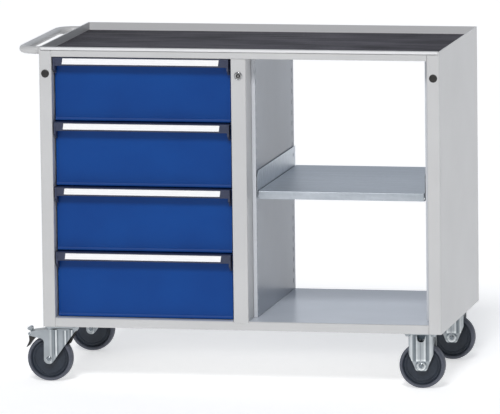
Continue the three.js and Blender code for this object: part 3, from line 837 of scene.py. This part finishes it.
def makeShelf():
    low, high = boxOf("shelf")
    sheet, groove, chamfer = shelf["sheet"], shelf["groove"], shelf["chamfer"]
    left, right = low.x + shelf["inset"] - corner.x, high.x - shelf["inset"] - corner.x
    front, back = low.y - corner.y, high.y - corner.y
    bottom, deck, top = low.z, low.z + shelf["lip"], high.z
    (under, over), (out, into), half = shelf["hook"], shelf["hookReach"], shelf["hookSheet"] / 2
    bm = bmesh.new()
    path = [(front, bottom), (front, deck), (back, deck), (back, bottom)]
    fold(bm, path, [shelf["fold"]] * 2, sheet, "x", left + sheet + groove, right - sheet - groove)
    for outer, side in ((left, 1), (right, -1)):
        x0, x1 = sorted((outer + side * (sheet + groove), outer + side * (2 * sheet + groove)))
        block(bm, (x0, front + 2, deck - shelf["turned"]), (x1, back - 2, deck - 0.3))
        path = [(outer, top), (outer, bottom), (outer + side * shelf["foot"], bottom)][::-side]
        flange = solid(fold, path, [shelf["fold"]], sheet, "y", front + 0.4, back)
        cutter = [(front - 1, top + 1), (front - 1, top - chamfer), (front + chamfer, top + 1)]
        merge(bm, carve(flange, solid(extrude, cutter, "x", outer - 3, outer + 3)))
        x0, x1 = sorted((outer - side * out, outer + side * into))
        for hook in (front + shelf["hooksAt"][0], back - shelf["hooksAt"][1]):
            block(bm, (x0, hook - half, deck + under), (x1, hook + half, deck + over))
    addPiece("shelf_folded", bm, ["shelf"], cabinetAt, edge=0.3)


makeShelf()
print("shelf: done")


# Drawers: pressed fronts, moulded grips with end caps, and label strips

drawerFront = {
    "corner": 1.6,
    "recess": 3.0,  # of the main face, behind the foot's edge
    "foot": [(3.0, 11.0), (1.7, 9.5), (2.3, 8.9), (2.3, 8.3), (0.0, 3.6)],  # depth and height of its folds
    "bead": 1.2,  # radius of its lower edge
}
grip = {
    "height": 23,
    "wall": 2.5,
    "nose": 2.2,
    "lip": 1.3,  # radius of its lower edge
    "cap": 5,  # thickness of the cap at each end
    "ear": 45,  # height of the caps
    "earCurve": 14,
    "channel": 0.5,  # depth of the label's channel
    "channelTop": (2.4, 2.8),  # where its slanting edge starts and ends, below the grip's top
    "channelFoot": (4.0, 3.6),  # and above its lower edge
}
label = {
    "slant": 4.0,  # how far its ends lean over
    "reach": (0.1, 0.3),  # its front and back stand this far behind the node's
}


def makeDrawerFront(number):
    node = f"drawer_{number}_front"
    low, high = boxOf(node)
    front, back, bottom, top = low.y, high.y, low.z, high.z
    curve, face, bead = drawerFront["corner"], front + drawerFront["recess"], drawerFront["bead"]
    outline = [
        (back, top),
        *arcPoints(face + curve, top - curve, curve, 90, 180, 4),
        *[(front + depth, bottom + height) for depth, height in drawerFront["foot"]],
        *arcPoints(front + bead, bottom + bead, bead, 170, 270, 5),
        (back, bottom),
    ]
    addPiece(node + "_pressed", solid(extrude, outline, "x", low.x, high.x), [node], edge=0.3)


def makeGrip(number):
    node = f"drawer_{number}_grip"
    low, high = boxOf(node)
    front, back, top = low.y, high.y, high.z
    nose, lip, wall, cap = grip["nose"], grip["lip"], grip["wall"], grip["cap"]
    channel, curve = front + grip["channel"], grip["earCurve"]
    bottom = top - grip["height"]
    rounded = [(back, top), *arcPoints(front + nose, top - nose, nose, 90, 180, 4)]
    outline = [
        *rounded,
        (front, top - grip["channelTop"][0]),
        (channel, top - grip["channelTop"][1]),
        (channel, bottom + grip["channelFoot"][0]),
        (front, bottom + grip["channelFoot"][1]),
        *arcPoints(front + lip, bottom + lip, lip, 180, 360, 6),
        (front + wall, bottom + 3),
        (front + wall, top - wall - 2),
        (front + wall + 2, top - wall),
        (back, top - wall),
    ]
    ear = [
        *rounded,
        (front, bottom + 2),
        *arcPoints(front + curve, bottom - 2, curve, 170, 215, 6),
        (back - 5, top - grip["ear"]),
        (back, top - grip["ear"]),
    ]
    bm = solid(extrude, outline, "x", low.x + cap, high.x - cap)
    for x in (low.x, high.x - cap):
        extrude(bm, ear, "x", x, x + cap)
    addPiece(node + "_moulded", bm, [node], edge=0.5)


def makeLabel(number):
    node = f"drawer_{number}_label"
    low, high = boxOf(node)
    slant = label["slant"] / 2
    outline = [(low.x, low.z), (high.x - slant, low.z), (high.x, high.z), (low.x + slant, high.z)]
    near, far = label["reach"]
    addPiece(node + "_strip", solid(extrude, outline, "y", low.y + near, high.y + far), [node], edge=0.15)


for number in (1, 2, 3, 4):
    makeDrawerFront(number)
    makeGrip(number)
    makeLabel(number)
print("drawers: done")


# Push handle: a bent tube, a flared collar at each end and a screw that holds it

handle = {
    "tube": 10.5,
    "bend": 45,
    "collar": [  # radius, and distance from the panel
        (9.5, 0), (15, 0), (15, 1.6), (13.4, 3.2), (12, 7.15), (11, 10.4), (10.3, 13), (9.5, 13),
    ],
    "screw": [(0, -2.0), (1.6, -1.7), (2.4, -0.8), (2.6, 0.4), (0, 0.4)],
    "screwAt": (5.85, 1.8, 1.0),  # from the panel, in front of the tube and above its middle
}


def makeHandle():
    low, high = boxOf("push_handle")
    radius, bend = handle["tube"], handle["bend"]
    collar = max(wide for wide, away in handle["collar"])
    height = (low.z + high.z) / 2
    inner, outer = high.x, low.x + radius
    front, back = low.y + collar, high.y - collar
    path = [
        (inner, front),
        *arcPoints(outer + bend, front + bend, bend, 270, 180, 14),
        *arcPoints(outer + bend, back - bend, bend, 180, 90, 14),
        (inner, back),
    ]
    steps = 40
    bm = bmesh.new()
    rings = []
    for i, (x, y) in enumerate(path):
        before, after = path[max(i - 1, 0)], path[min(i + 1, len(path) - 1)]
        along = Vector((after[0] - before[0], after[1] - before[1])).normalized()
        side = Vector((along.y, -along.x, 0))
        ring = []
        for step in range(steps):
            angle = 2 * math.pi * step / steps
            spot = Vector((x, y, height)) + side * radius * math.cos(angle)
            ring.append(bm.verts.new(spot + Vector((0, 0, radius * math.sin(angle)))))
        rings.append(ring)
    for near, far in zip(rings, rings[1:]):
        for i in range(steps):
            bm.faces.new((near[i - 1], near[i], far[i], far[i - 1]))
    bm.faces.new(rings[0])
    bm.faces.new(rings[-1])
    profile = [(wide, inner - away) for wide, away in handle["collar"]]
    for y in (front, back):
        turn(bm, profile, "x", (0, y, height))
    addPiece("handle_tube", bm, ["push_handle"], edge=0)
    away, proud, up = handle["screwAt"]
    spot = (inner - away, front - radius - proud, height + up)
    screw = solid(turn, handle["screw"], "y", spot, 20)
    addPiece("handle_screw", screw, slot="zinc_plated_steel", body=owners["push_handle"], edge=0)


makeHandle()
print("handle: done")


# Post plugs and the lock

plug = {  # radius and depth
    "dome": [
        (0, -2.8), (4.5, -2.7), (8.2, -2.1), (10.3, -1.2), (11, -0.3), (8.8, -0.3), (8.8, 7.5),
        (0, 7.5),
    ],
}
lock = {
    "ring": [  # radius and depth
        (7.9, 24), (7.9, -0.6), (8.5, -2.0), (9.5, -3.2), (10.4, -3.0), (11.4, -1.9), (12, -0.3),
        (9.9, -0.3), (9.9, 24),
    ],
    "grooveShade": [(7.8, 1.2), (7.8, 8.5), (6.8, 8.5), (6.8, 1.2)],  # painted shade: black filling for the dark groove between ring and core
    "core": (6.7, -0.6, 26.6),  # radius, front and back
    "face": (6.3, -0.9, 0),
    "shutter": (1.3, 7.4, -1.2),  # width, height and front
    "cam": (7, 16, 25.3, 26.8),  # width, height, front and back
}


def makePlugs():
    for side in ("left", "right"):
        node = "post_plug_" + side
        spot = middle(node)
        dome = solid(turn, plug["dome"], "y", (spot.x, corner.y, spot.z), 40)
        addPiece(node + "_dome", dome, [node], edge=0)


def makeLock():
    spot = middle("lock_body")
    x, y, z = centre = (spot.x, corner.y, spot.z)
    addPiece("lock_ring", solid(turn, lock["ring"], "y", centre), ["lock_body"], edge=0.15)
    radius, near, far = lock["core"]
    bm = solid(rod, radius, "y", y + near, y + far, (x, 0, z), 40, 0.7)
    wide, tall, near = lock["shutter"]
    block(bm, (x - wide / 2, y + near, z - tall / 2), (x + wide / 2, y, z + tall / 2))
    wide, tall, near, far = lock["cam"]
    block(bm, (x - wide / 2, y + near, z - tall), (x + wide / 2, y + far, z))
    addPiece("lock_core", bm, ["lock_cylinder"], edge=0.2)
    # A black disc on the core's front: painted shade, standing for its dark keyway.
    radius, near, far = lock["face"]
    face = solid(rod, radius, "y", y + near, y + far, (x, 0, z), 40, 0.2)
    addPiece("lock_keyway_shade", face, slot="black_plastic", body=owners["lock_cylinder"], edge=0)
    grooveShade = solid(turn, lock["grooveShade"], "y", centre)
    addPiece("lock_groove_shade", grooveShade, slot="black_plastic", body=owners["lock_body"], edge=0)


makePlugs()
makeLock()
print("fittings: done")


# Casters. A fork is drawn round its plate's middle and a wheel round its own, with Z from the floor.

wheel = {
    "radius": 62.5,
    "tyre": [  # radius, and distance from the middle
        (52.9, 11.5), (53.3, 14.4), (54.2, 15.7), (55.4, 16), (58.0, 16), (60.2, 14.6),
        (61.8, 11.6), (62.4, 7), (62.5, 0),
    ],
    "hub": [
        (6.3, 19.8), (13.2, 19.8), (14, 19), (14.6, 10), (17, 8.4), (28, 7.6), (41.5, 7.8),
        (42.6, 8.9), (44, 8.9), (45, 7.9), (49, 8.2), (50.4, 10.6), (51.4, 12), (52.6, 12),
        (52.8, 10.8),
    ],
}
axle = {
    "radius": 6,
    "flats": 11.5,
    "head": 5.5,
    "washer": (7.6, 1.4),  # radius and thickness
}
plate = {
    "length": 90,
    "depth": 85,
    "corner": 8,
    "bottom": 150.5,
    "top": 154.7,
    "bolt": (35, 31),
    "boltFlats": 12,
    "head": 5.8,
    "washer": (8.5, 1.2),
    "ring": [(0, -3.5), (26.5, -3.5), (28, -2.5), (28, -0.4), (29.5, 0.2), (0, 0.2)],  # swivel plates only
    "pin": (6, 132.3, 147.5),  # radius, bottom and top
    "pinHead": (17, 132.4, 137.6),  # flats, bottom and top
}


def mirrored(profile):  # half a wheel's profile and its mirror image, as one loop
    return [(radius, -out) for radius, out in profile] + [point for point in profile[::-1] if point[1]]


def makeWheel(name, at):
    for part, edge in (("tyre", 0), ("hub", 0.25)):
        turned = solid(turn, mirrored(wheel[part]), "y", (0, 0, wheel["radius"]), 96)
        addPiece(f"{name}_{part}_turned", turned, [f"{name}_{part}"], at, edge=edge)


def makeAxle(name, at, cheek):
    centre = (0, 0, wheel["radius"])
    washer, thick = axle["washer"]
    bm = solid(rod, axle["radius"], "y", -cheek - 1, cheek + 1, centre)
    for facing in (-1, 1):
        seat = facing * (cheek + thick)
        low, high = sorted((facing * cheek, seat))
        rod(bm, washer, "y", low, high, centre, 36, 0.3)
        hexHead(bm, axle["flats"], "y", facing * (cheek + axle["head"] - 0.1), seat, centre)
    addPiece(name + "_axle_bolt", bm, [name + "_axle"], at, finish=zincPlatedBolts, edge=0.3)


def addPlate(bm):
    reach, side, radius = plate["length"] / 2, plate["depth"] / 2, plate["corner"]
    bottom, (washer, thick), head = plate["bottom"], plate["washer"], plate["head"]
    outline = []
    for x, y, start in ((1, 1, 0), (-1, 1, 90), (-1, -1, 180), (1, -1, 270)):
        outline += arcPoints(x * (reach - radius), y * (side - radius), radius, start, start + 90, 6)
        spot = (x * plate["bolt"][0], y * plate["bolt"][1], 0)
        rod(bm, washer, "z", bottom - thick, bottom, spot, 28, 0.3)
        hexHead(bm, plate["boltFlats"], "z", bottom - head, bottom - thick, spot)
    extrude(bm, outline, "z", bottom, plate["top"])


def paintInsideLit(fork, middleDepth):  # paints the cheeks' faces towards the wheel pale: painted light on faces in shade
    fork.data.materials.append(zincPlatedLitInside)
    for face in fork.data.polygons:
        face.material_index = int(face.normal.y * (face.center.y - middleDepth * mm) < -0.001)


swivelFork = {
    "trail": -40,
    "inner": 21.5,
    "sheet": 2.5,
    "end": 14,
    "tip": 35,
    "crownTop": 143.2,
    "crown": 5,
    "shoulder": [  # X, and height above the crown
        (-51, 0), (-88, -5.5), (-96, -9), (-98, -11.5), (-97.5, -14), (-92, -18), (-64, -24.5),
    ],
    "ring": [(0, -1), (27, -1), (28, 0), (28, 2.6), (26.5, 3.5), (0, 3.5)],  # radius, and height above it
    "ribs": [(-19.5, 7.0), (6.4, 6.5), (24.5, 6.0)],  # middle and width
    "ribStands": 2.3,
    "leg": (-33.5, -30.5),  # where the leg's flat steps back to the ribbed part
    "legStands": 1.3,
    "shadeFill": 66,  # the shade filling's radius, round the wheel
    "shadeFillGap": 0.8,
}


def forkOutline():
    trail, end, top, tip = [swivelFork[key] for key in ("trail", "end", "crownTop", "tip")]
    return [
        *arcPoints(trail, wheel["radius"], end, 178, 324, 12),
        (tip, top - 2),
        (tip - 2.5, top),
        *[(x, top + up) for x, up in swivelFork["shoulder"]],
        *arcPoints(-64.5, top - 35.5, 11, 80, 2, 6),
    ]


def forkRelief(x, z):
    stand = swivelFork["legStands"] * (1 - ramp(x, *swivelFork["leg"]))
    foot = ramp(z, wheel["radius"] + 4, wheel["radius"] + 16)  # the ribs run out above the axle
    for centre, width in swivelFork["ribs"]:
        stand += swivelFork["ribStands"] * ridge(x, centre, width) * foot
    return stand


def makeSwivelFork(name, at):
    inner, sheet, top, tip = [swivelFork[key] for key in ("inner", "sheet", "crownTop", "tip")]
    level = inner + sheet - swivelFork["legStands"]
    columns = list(swivelFork["leg"]) + list(range(-96, 42, 3))
    for centre, width in swivelFork["ribs"]:
        columns += [centre + width * share for share in (-0.5, -0.34, -0.17, 0, 0.17, 0.34, 0.5)]
    rows = range(51, 142, 3)
    bm = bmesh.new()
    for facing in (-1, 1):
        press(bm, forkOutline(), columns, rows, forkRelief, level, sheet, facing)
    low = top - swivelFork["crown"]
    extrude(bm, [(-49, low), (tip - 2, low), (tip - 2, top), (-49, top)], "y", -inner, inner)
    turn(bm, [(radius, top + up) for radius, up in swivelFork["ring"]], "z", (0, 0, 0), 56)
    paintInsideLit(addPiece(name + "_fork_pressed", bm, [name + "_fork"], at, edge=0.35), at[1])


def makeShadeFill(name, at):  # painted shade: a dark filling between the cheeks, in front of the wheel
    top, tip = swivelFork["crownTop"], swivelFork["tip"]
    half = swivelFork["inner"] - swivelFork["shadeFillGap"]
    outline = [
        (tip - 2, top - 3),
        (tip - 4.5, top - 6),
        (28, 130),
        (18.5, 112),
        *arcPoints(swivelFork["trail"], wheel["radius"], swivelFork["shadeFill"], 36, 74, 10),
        (-21, top - 5.2),
    ]
    shadeFill = solid(extrude, outline, "y", -half, half)
    addPiece(name + "_shade_fill", shadeFill, (), at, "black_plastic", name + "_fork", shadeBlackPolyethylene, 0.8)


def makeSwivelPlate(name, at):
    radius, low, high = plate["pin"]
    bm = solid(addPlate)
    turn(bm, [(wide, plate["bottom"] + up) for wide, up in plate["ring"]], "z", (0, 0, 0), 56)
    rod(bm, radius, "z", low, high)
    flats, low, high = plate["pinHead"]
    hexHead(bm, flats, "z", low, high, (0, 0, 0))
    addPiece(name + "_plate_pressed", bm, [name + "_plate"], at, edge=0.35)


pedal = {
    "pivot": (-91, 130),
    "rod": (3, 24.5),  # radius and half its length
    "half": 11,  # half the tab's width
    "shoeGap": 1.8,  # between the shoe and each cheek
    "tab": [  # from the pivot
        (-3.0, -3.0), (3.0, -3.0), (5.2, 1.0), (4.8, 5.2), (1.6, 9.4), (1.5, 12.0), (1.6, 14.6),
        (0.2, 17.6), (-2.6, 19.0), (-6.4, 18.6), (-9.8, 16.6), (-11.5, 13.4), (-10.6, 10.4),
        (-7.2, 9.2), (-2.6, 7.2), (-1.6, 3.0),
    ],
    "shoe": [
        (-5.4, -4.2), (4.0, -4.2), (11.2, -6.5), (11.4, -9.6), (7.4, -14.4), (0.6, -21.6),
        (-10.6, -37.0), (-12.6, -36.4), (-6.4, -24.5), (-4.2, -17.5),
    ],
}


def makePedal(name, at):
    x, z = pedal["pivot"]
    radius, reach = pedal["rod"]
    half = swivelFork["inner"] - pedal["shoeGap"]
    node = name + "_pedal"
    bm = solid(extrude, [(x + a, z + b) for a, b in pedal["tab"]], "y", -pedal["half"], pedal["half"])
    rod(bm, radius, "y", -reach, reach, (x, 0, z), 24)
    addPiece(node + "_tab", bm, [node], at, slot="zinc_plated_steel", finish=zincPlatedBolts, edge=0.7)
    shoe = solid(extrude, [(x + a, z + b) for a, b in pedal["shoe"]], "y", -half, half)
    addPiece(node + "_shoe", shoe, [node], at, edge=0.7)


fixedFork = {
    "half": 34,
    "foot": 15.5,
    "shoulder": 97.5,
    "bell": 14.5,  # half the opening's width
    "bellDrop": 23,  # its depth below the plate
    "bellEnd": 11,  # radius of its lower end
    "stands": 0.4,  # the plain sheet, as the reliefs count it
    "flutes": [  # X, and how far the sheet stands out
        (-34, 0.0), (-31, 1.6), (-25, 1.9), (-22, 0.4), (-15.5, 0.4), (-12.5, 2.8), (-3, 3.0),
        (-1, 2.4), (1, 3.0), (11.5, 2.8), (14.5, 0.4), (21, 0.4), (24.5, 1.9), (31, 1.6), (34, 0.0),
    ],
    "boss": 1.6,
    "footDrop": 1.2,
    "rivet": [(0, 2.2), (2.0, 1.8), (3.1, 0.6), (3.3, -0.6), (0, -0.6)],  # radius, and how far out
    "rivetsAt": (-5.5, 4.0),
    "bridge": (13, 8),  # half its width and half its depth
}


def fixedRelief(x, z):
    flutes = fixedFork["flutes"]
    stand = flutes[-1][1]
    for (x0, y0), (x1, y1) in zip(flutes, flutes[1:]):
        if x0 <= x <= x1:
            stand = y0 + (y1 - y0) * (x - x0) / (x1 - x0)
            break
    away = math.hypot(x, z - wheel["radius"])
    boss = 1 - ramp(away, 11.5, 13.5)  # round the axle
    lower = ramp(z, wheel["radius"] + 9, wheel["radius"] + 15)  # the flutes run out above it
    edges = fixedFork["footDrop"] * (1 - ramp(z, wheel["radius"] - 13.5, wheel["radius"] - 11))
    return max(stand * lower, fixedFork["stands"], fixedFork["boss"] * boss) - edges * (1 - boss)


def makeFixedFork(name, at):
    half, foot, bell, end = [fixedFork[key] for key in ("half", "foot", "bell", "bellEnd")]
    inner, sheet, shoulder = swivelFork["inner"], swivelFork["sheet"], fixedFork["shoulder"]
    level = inner + sheet - fixedFork["stands"]
    bottom, top = wheel["radius"] - swivelFork["end"], plate["bottom"] + 0.2
    low = plate["bottom"] - fixedFork["bellDrop"]
    outline = [
        (-foot + 4, bottom),
        (foot - 4, bottom),
        (foot, bottom + 4),
        (half, shoulder - 2),
        (half, top),
        (bell + 1, top),
        (bell - 2, plate["bottom"] - 6),
        *arcPoints(0, low + end, end, 0, -180, 12),
        (-bell + 2, plate["bottom"] - 6),
        (-bell - 1, top),
        (-half, top),
        (-half, shoulder - 2),
        (-foot, bottom + 4),
    ]
    columns = [x for x, stand in fixedFork["flutes"]][1:-1] + list(range(-33, 34, 3))
    rows = [49.5, 51.5, 54, 57, 60, 62.5, 65, 68, 71.5, 74, 77.5]  # close where the relief changes fast
    rows += list(range(81, 150, 3))
    wide, deep = fixedFork["bridge"]
    bm = bmesh.new()
    for facing in (-1, 1):
        press(bm, outline, columns, rows, fixedRelief, level, sheet, facing)
        dome = [(radius, facing * out) for radius, out in fixedFork["rivet"]]
        for x in fixedFork["rivetsAt"]:
            turn(bm, dome, "y", (x, facing * (deep + 0.6), low + 4), 20)
    addPlate(bm)
    paintInsideLit(addPiece(name + "_fork_pressed", bm, [name + "_fork"], at, edge=0.35), at[1])
    bridge = solid(block, (-wide, -deep, low - 3), (wide, deep, plate["bottom"]))
    slot, body = "zinc_plated_steel", owners[name + "_fork"]
    bridge = addPiece(name + "_bridge", bridge, at=at, slot=slot, body=body, edge=0.6)
    # The bridge takes the darkest tone all over: painted shade, for the hollow between the cheeks where it
    # stands.
    hollow = bridge.data.attributes.new("paintedSheen", "FLOAT", "POINT")
    hollow.data.foreach_set("value", [-1.0] * len(hollow.data))


def overFloor(node):  # the point of the floor below a node's middle
    spot = middle(node)
    return (spot.x, spot.y, 0)


for end in ("front", "rear"):
    name = "swivel_" + end
    at, wheelAt = overFloor(name + "_plate"), overFloor(name + "_tyre")
    makeSwivelPlate(name, at)
    makeSwivelFork(name, at)
    makeShadeFill(name, at)
    makePedal(name, at)
    makeWheel(name, wheelAt)
    makeAxle(name, wheelAt, 24)
    name = "fixed_" + end
    wheelAt = overFloor(name + "_tyre")
    makeFixedFork(name, wheelAt)
    makeWheel(name, wheelAt)
    makeAxle(name, wheelAt, 24.3)
print("casters: done")


# Frame nodes that show as they are: their own shape, with rounded edges and the right finish

ownShape = {
    "weld": 0.005,  # points nearer than this are one
    "flat": 0.5,  # faces that meet within these degrees are one
    "edge": 0.5,
}


def coatOf(node):
    if node == "worktop_tray":
        return trayLitCoat
    if node.startswith("bay_wall"):
        return wallShadedCoat
    return slotMaterials[slots[node]]


for node, thing in nodes.items():
    thing.data.materials.clear()
    thing.data.materials.append(coatOf(node))
    if not thing.hide_render:
        thing.modifiers.new("weld", "WELD").merge_threshold = ownShape["weld"] * mm
        flat = thing.modifiers.new("flat", "DECIMATE")
        flat.decimate_type = "DISSOLVE"
        flat.angle_limit = math.radians(ownShape["flat"])
        roundEdges(thing, ownShape["edge"] * mm)
print("sheets: finished")


# Stage: a pale floor, soft light and the camera

stage = {
    "floorSide": 400.0,
    "floorColour": "#f4f4f4",
    "floorRoughness": 0.9,
    "floorGloss": 0.1,
    "floorGlow": 0.46,  # keeps it near white all over, as light bounced in a white room does
}


def makeFloor():
    half = stage["floorSide"] / 2
    mesh = bpy.data.meshes.new("floor")
    corners = [(-half, -half, 0), (half, -half, 0), (half, half, 0), (-half, half, 0)]
    mesh.from_pydata(corners, [], [(0, 1, 2, 3)])
    mesh.materials.append(newMaterial("paleFloor", {
        "Base Color": linear(stage["floorColour"]),
        "Roughness": stage["floorRoughness"],
        "Specular IOR Level": stage["floorGloss"],
        "Emission Color": (1, 1, 1, 1),
        "Emission Strength": stage["floorGlow"],
    })[0])
    floor = place("floor", mesh)


def makeWorld(sky):
    world = bpy.data.worlds.new("studio")
    world.use_nodes = True
    bpy.context.scene.world = world
    tree = world.node_tree
    direction = addNode(tree, "ShaderNodeTexCoord").outputs["Generated"]
    axes = addNode(tree, "ShaderNodeSeparateXYZ", {0: direction}).outputs
    front = addNode(tree, "ShaderNodeMapRange", {
        "Value": axes["Y"],
        "From Min": 1.0,
        "From Max": 0.0,
    }, interpolation_type="SMOOTHSTEP").outputs["Result"]
    up = addNode(tree, "ShaderNodeMapRange", {"Value": axes["Z"]}).outputs["Result"]
    under = addNode(tree, "ShaderNodeMath", {0: axes["Z"], 1: 0.0}, operation="LESS_THAN").outputs[0]
    colour = linear(sky["back"])
    for share, over in ((front, sky["front"]), (up, sky["top"]), (under, sky["under"])):
        between = {0: share, 6: colour, 7: linear(over)}
        colour = addNode(tree, "ShaderNodeMix", between, data_type="RGBA").outputs[2]
    feed(tree, tree.nodes["Background"], {"Color": colour, "Strength": sky["strength"]})


def outward(azimuth, elevation):  # the way from the bench to a lamp or a camera; 0 is straight in front
    around, rise = math.radians(azimuth), math.radians(elevation)
    return Vector((math.sin(around) * math.cos(rise), -math.cos(around) * math.cos(rise), math.sin(rise)))


def addLight(name, light):  # a broad studio light, far enough away to reach the whole floor evenly
    data = bpy.data.lights.new(name, "SUN")
    data.energy = light["strength"]
    data.angle = math.radians(light["breadth"])
    data.color = linear(light["colour"])[:3]
    lamp = place(name, data)
    away = outward(light["azimuth"], light["elevation"])
    lamp.rotation_euler = (-away).to_track_quat("-Z", "Y").to_euler()


makeFloor()
makeWorld({
    "front": "#5f6063",
    "back": "#e0e6f0",
    "top": "#8a8d92",
    "under": "#ffffff",  # as bright as the floor, for a view that cuts the floor short
    "strength": 1.0,
})
addLight("key", {
    "azimuth": 4,
    "elevation": 42,
    "breadth": 16,
    "strength": 1.6,
    "colour": "#ffffff",
})

view = {
    "azimuth": 11.75,
    "elevation": 8.07,
    "roll": -0.7,
    "distance": 17.8,
    "lens": 467.5,
    "sensor": 36,
    "shiftX": 0.0040,
    "shiftY": -0.0075,
    "reach": 1000,  # past the far side of the floor
}


def makeCamera():
    data = bpy.data.cameras.new("camera")
    data.lens = view["lens"]
    data.sensor_width = view["sensor"]
    data.shift_x, data.shift_y = view["shiftX"], view["shiftY"]
    data.clip_end = view["reach"]
    camera = place("camera", data)
    back = outward(view["azimuth"], view["elevation"])
    right = Vector((0, 0, 1)).cross(back).normalized()
    axes = Matrix((right, back.cross(right), back)).transposed().to_4x4()
    roll = Matrix.Rotation(math.radians(view["roll"]), 4, "Z")
    centre = (cadLow + cadHigh) / 2
    camera.matrix_world = Matrix.Translation(centre + back * view["distance"]) @ axes @ roll
    bpy.context.scene.camera = camera


makeCamera()
bpy.context.scene.view_settings.view_transform = "Standard"
print("stage: done")
